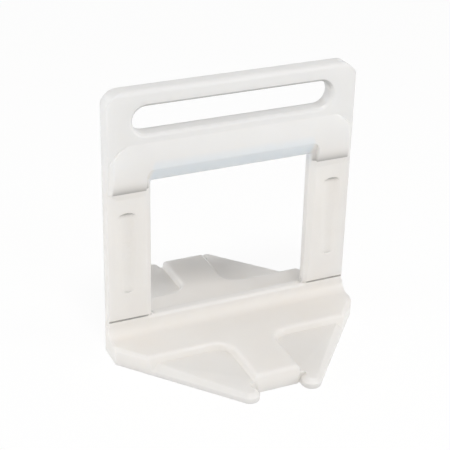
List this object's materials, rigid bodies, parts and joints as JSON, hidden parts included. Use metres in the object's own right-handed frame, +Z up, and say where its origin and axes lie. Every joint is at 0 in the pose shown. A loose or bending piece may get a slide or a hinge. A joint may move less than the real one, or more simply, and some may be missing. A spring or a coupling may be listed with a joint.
{
  "type": "tile levelling clip",
  "caption": "Break-off tile levelling clip: upright frame with a wedge window and a hand slot, notched above a low base with a raised bar, tongue, lobes and round toes.",
  "frame": {"origin": "on the floor, under the middle of the upright frame", "axes": "+Z up, +X along the width of the frame to the right, -Y towards the viewer in front"},
  "size_m": [0.0482, 0.0506, 0.0507],
  "materials": {
    "moulded_polypropylene": "translucent white, satin"
  },
  "bodies": {
    "root": {"levelling_clip": "moulded_polypropylene"}
  },
  "joints": []
}
